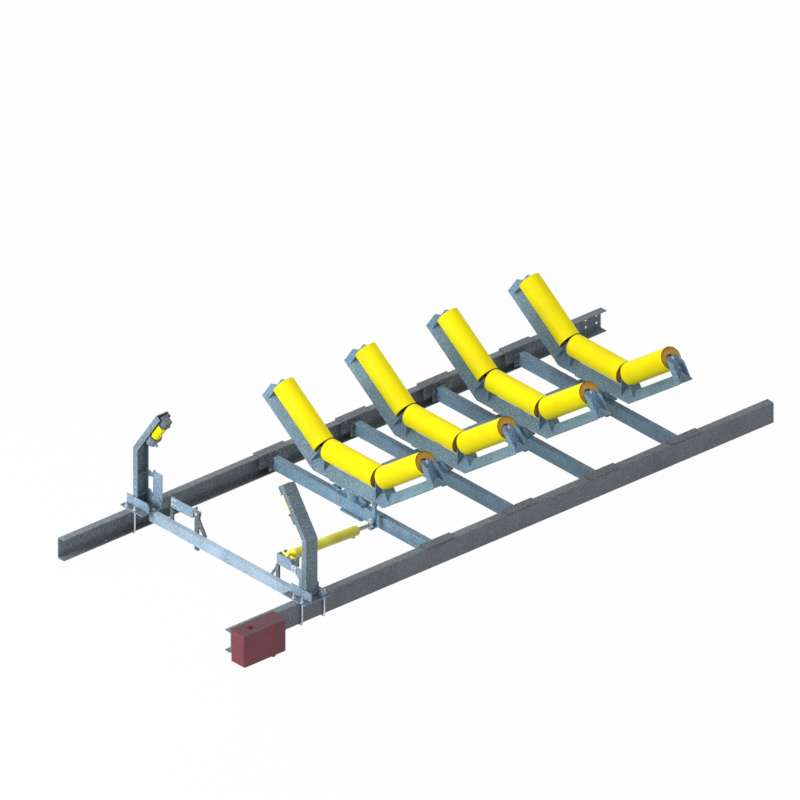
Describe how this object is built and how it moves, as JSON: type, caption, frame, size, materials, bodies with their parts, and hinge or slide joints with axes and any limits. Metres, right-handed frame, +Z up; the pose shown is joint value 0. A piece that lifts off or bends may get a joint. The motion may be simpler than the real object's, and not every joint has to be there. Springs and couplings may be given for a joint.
{
  "type": "self-aligning troughing idler set",
  "caption": "Conveyor troughing idler set: roller frames on upright pivots over channel stringers, linked and swung by a hydraulic cylinder, with sensing arms and an oil tank.",
  "frame": {"origin": "centre of the four foot bolt holes, in the plane of the stringers' undersides", "axes": "+X along the stringers, in the direction of the belt from the sensing arms to the roller frames; +Y towards the left stringer; +Z up"},
  "size_m": [4.806, 1.943, 1.0118],
  "materials": {
    "stringer_paint": "dark grey paint, satin",
    "frame_paint": "blue-grey paint, satin",
    "dark_paint": "dark grey paint, satin",
    "bracket_paint": "pale blue-grey paint, satin",
    "roller_paint": "bright yellow paint, satin",
    "cylinder_paint": "yellow paint, worn satin",
    "bright_steel": "ground steel",
    "seal_rubber": "matt black rubber",
    "zinc_plate": "bright zinc plate",
    "pump_iron": "grey painted casting",
    "tank_paint": "dark red paint, satin"
  },
  "bodies": {
    "base": {"left_stringer": "stringer_paint", "right_stringer": "stringer_paint", "crossbeam_1": "frame_paint", "crossbeam_2": "frame_paint", "crossbeam_3": "frame_paint", "crossbeam_4": "frame_paint", "crossbeam_saddles": "dark_paint", "saddle_bolts": "zinc_plate", "pivot_bases": "frame_paint", "thrust_bearings": "bright_steel", "tie_bar": "bracket_paint", "bracket_posts": "dark_paint", "cylinder_bracket": "bracket_paint", "left_bracket": "bracket_paint", "bracket_bolts": "zinc_plate", "arm_bases": "dark_paint", "hook_bolts": "zinc_plate", "left_arm": "frame_paint", "right_arm": "frame_paint", "sensing_yokes": "dark_paint", "sensing_pumps": "pump_iron", "arm_guards": "bracket_paint", "oil_tank": "tank_paint", "tank_lid": "tank_paint", "tank_plugs": "zinc_plate"},
    "frame_1": {"idler_frame_1": "frame_paint", "roller_shafts_1": "bright_steel", "roller_bearings_1": "bright_steel", "roller_seals_1": "seal_rubber", "rod_pin": "zinc_plate"},
    "frame_2": {"idler_frame_2": "frame_paint", "roller_shafts_2": "bright_steel", "roller_bearings_2": "bright_steel", "roller_seals_2": "seal_rubber"},
    "frame_3": {"idler_frame_3": "frame_paint", "roller_shafts_3": "bright_steel", "roller_bearings_3": "bright_steel", "roller_seals_3": "seal_rubber"},
    "frame_4": {"idler_frame_4": "frame_paint", "roller_shafts_4": "bright_steel", "roller_bearings_4": "bright_steel", "roller_seals_4": "seal_rubber"},
    "left_roller_1": {"left_roller_1": "roller_paint"},
    "centre_roller_1": {"centre_roller_1": "roller_paint"},
    "right_roller_1": {"right_roller_1": "roller_paint"},
    "left_roller_2": {"left_roller_2": "roller_paint"},
    "centre_roller_2": {"centre_roller_2": "roller_paint"},
    "right_roller_2": {"right_roller_2": "roller_paint"},
    "left_roller_3": {"left_roller_3": "roller_paint"},
    "centre_roller_3": {"centre_roller_3": "roller_paint"},
    "right_roller_3": {"right_roller_3": "roller_paint"},
    "left_roller_4": {"left_roller_4": "roller_paint"},
    "centre_roller_4": {"centre_roller_4": "roller_paint"},
    "right_roller_4": {"right_roller_4": "roller_paint"},
    "link": {"link_bar": "frame_paint", "link_pins": "zinc_plate"},
    "cylinder": {"cylinder_barrel": "cylinder_paint"},
    "piston_rod": {"cylinder_rod": "bright_steel"},
    "left_sensing_roller": {"left_sensing_roller": "roller_paint"},
    "right_sensing_roller": {"right_sensing_roller": "roller_paint"}
  },
  "joints": [
    {"name": "frame_1_swing", "type": "hinge", "parent": "base", "child": "frame_1", "pos_m": [-0.542, 0, 0.24], "axis": [0, 0, 1], "range_deg": [-4, 4]},
    {"name": "frame_2_swing", "type": "hinge", "parent": "base", "child": "frame_2", "pos_m": [0.183, 0, 0.24], "axis": [0, 0, 1], "range_deg": [-4, 4]},
    {"name": "frame_3_swing", "type": "hinge", "parent": "base", "child": "frame_3", "pos_m": [0.908, 0, 0.24], "axis": [0, 0, 1], "range_deg": [-4, 4]},
    {"name": "frame_4_swing", "type": "hinge", "parent": "base", "child": "frame_4", "pos_m": [1.633, 0, 0.24], "axis": [0, 0, 1], "range_deg": [-4, 4]},
    {"name": "left_roller_1_spin", "type": "hinge", "parent": "frame_1", "child": "left_roller_1", "pos_m": [-0.542, 0.50936, 0.5651], "axis": [0, 0.8192, 0.5736], "continuous": true},
    {"name": "centre_roller_1_spin", "type": "hinge", "parent": "frame_1", "child": "centre_roller_1", "pos_m": [-0.542, 0, 0.4045], "axis": [0, 1, 0], "continuous": true},
    {"name": "right_roller_1_spin", "type": "hinge", "parent": "frame_1", "child": "right_roller_1", "pos_m": [-0.542, -0.50936, 0.5651], "axis": [0, 0.8192, -0.5736], "continuous": true},
    {"name": "left_roller_2_spin", "type": "hinge", "parent": "frame_2", "child": "left_roller_2", "pos_m": [0.183, 0.50936, 0.5651], "axis": [0, 0.8192, 0.5736], "continuous": true},
    {"name": "centre_roller_2_spin", "type": "hinge", "parent": "frame_2", "child": "centre_roller_2", "pos_m": [0.183, 0, 0.4045], "axis": [0, 1, 0], "continuous": true},
    {"name": "right_roller_2_spin", "type": "hinge", "parent": "frame_2", "child": "right_roller_2", "pos_m": [0.183, -0.50936, 0.5651], "axis": [0, 0.8192, -0.5736], "continuous": true},
    {"name": "left_roller_3_spin", "type": "hinge", "parent": "frame_3", "child": "left_roller_3", "pos_m": [0.908, 0.50936, 0.5651], "axis": [0, 0.8192, 0.5736], "continuous": true},
    {"name": "centre_roller_3_spin", "type": "hinge", "parent": "frame_3", "child": "centre_roller_3", "pos_m": [0.908, 0, 0.4045], "axis": [0, 1, 0], "continuous": true},
    {"name": "right_roller_3_spin", "type": "hinge", "parent": "frame_3", "child": "right_roller_3", "pos_m": [0.908, -0.50936, 0.5651], "axis": [0, 0.8192, -0.5736], "continuous": true},
    {"name": "left_roller_4_spin", "type": "hinge", "parent": "frame_4", "child": "left_roller_4", "pos_m": [1.633, 0.50936, 0.5651], "axis": [0, 0.8192, 0.5736], "continuous": true},
    {"name": "centre_roller_4_spin", "type": "hinge", "parent": "frame_4", "child": "centre_roller_4", "pos_m": [1.633, 0, 0.4045], "axis": [0, 1, 0], "continuous": true},
    {"name": "right_roller_4_spin", "type": "hinge", "parent": "frame_4", "child": "right_roller_4", "pos_m": [1.633, -0.50936, 0.5651], "axis": [0, 0.8192, -0.5736], "continuous": true},
    {"name": "link_swing", "type": "hinge", "parent": "frame_1", "child": "link", "pos_m": [-0.542, 0.155, 0.2], "axis": [0, 0, 1], "range_deg": [-4, 4]},
    {"name": "cylinder_swing", "type": "hinge", "parent": "base", "child": "cylinder", "pos_m": [-1.61, -0.552, 0.3195], "axis": [0.1243, 0.3423, 0.9313], "range_deg": [-0.71, 0.71]},
    {"name": "rod_slide", "type": "slide", "parent": "cylinder", "child": "piston_rod", "axis": [0.9388, 0.2634, -0.2221], "range_m": [-0.01654, 0.01654]},
    {"name": "left_sensing_spin", "type": "hinge", "parent": "base", "child": "left_sensing_roller", "pos_m": [-1.685, 0.66061, 0.7978], "axis": [0, -0.5736, 0.8192], "continuous": true},
    {"name": "right_sensing_spin", "type": "hinge", "parent": "base", "child": "right_sensing_roller", "pos_m": [-1.685, -0.66061, 0.7978], "axis": [0, 0.5736, 0.8192], "continuous": true}
  ],
  "couplings": [
    {"joint": "frame_2_swing", "follows": "frame_1_swing", "ratio": 1},
    {"joint": "frame_3_swing", "follows": "frame_1_swing", "ratio": 1},
    {"joint": "frame_4_swing", "follows": "frame_1_swing", "ratio": 1},
    {"joint": "link_swing", "follows": "frame_1_swing", "ratio": -1},
    {"joint": "cylinder_swing", "follows": "frame_1_swing", "ratio": -0.17715},
    {"joint": "rod_slide", "follows": "frame_1_swing", "m_per_rad": 0.23694}
  ]
}
